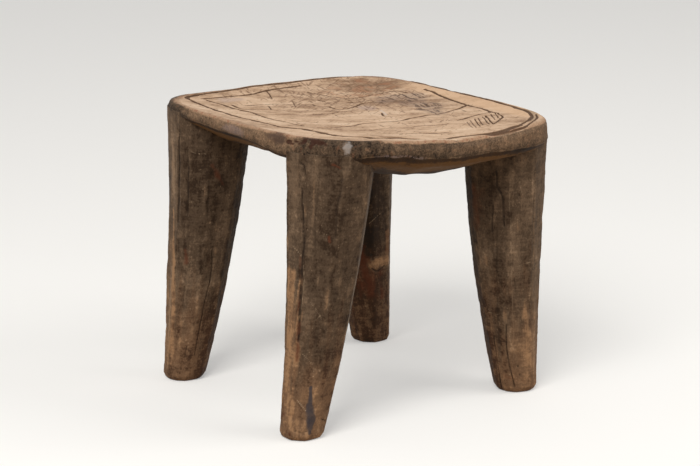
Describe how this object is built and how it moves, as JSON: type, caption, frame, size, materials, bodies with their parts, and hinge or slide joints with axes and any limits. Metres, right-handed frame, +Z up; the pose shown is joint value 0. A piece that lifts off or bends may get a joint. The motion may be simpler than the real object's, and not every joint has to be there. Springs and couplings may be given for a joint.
{
  "type": "low wooden stool",
  "caption": "Low hand-carved hardwood stool with a rounded rectangular seat, a worn incised top and stout tapering legs.",
  "frame": {"origin": "on the floor, under the middle of the stool's outer box", "axes": "+Z up; +Y along the seat's long direction, away from the front side; +X to the right, across the stool"},
  "size_m": [0.3387, 0.374, 0.3233],
  "materials": {
    "seat_wood": "matt, worn bare, incised by hand",
    "leg_wood": "matt dark patina, hewn flats, rubbed edges"
  },
  "bodies": {
    "root": {"seat": "seat_wood", "leg_front_left": "leg_wood", "leg_front_right": "leg_wood", "leg_back_right": "leg_wood", "leg_back_left": "leg_wood"}
  },
  "joints": []
}
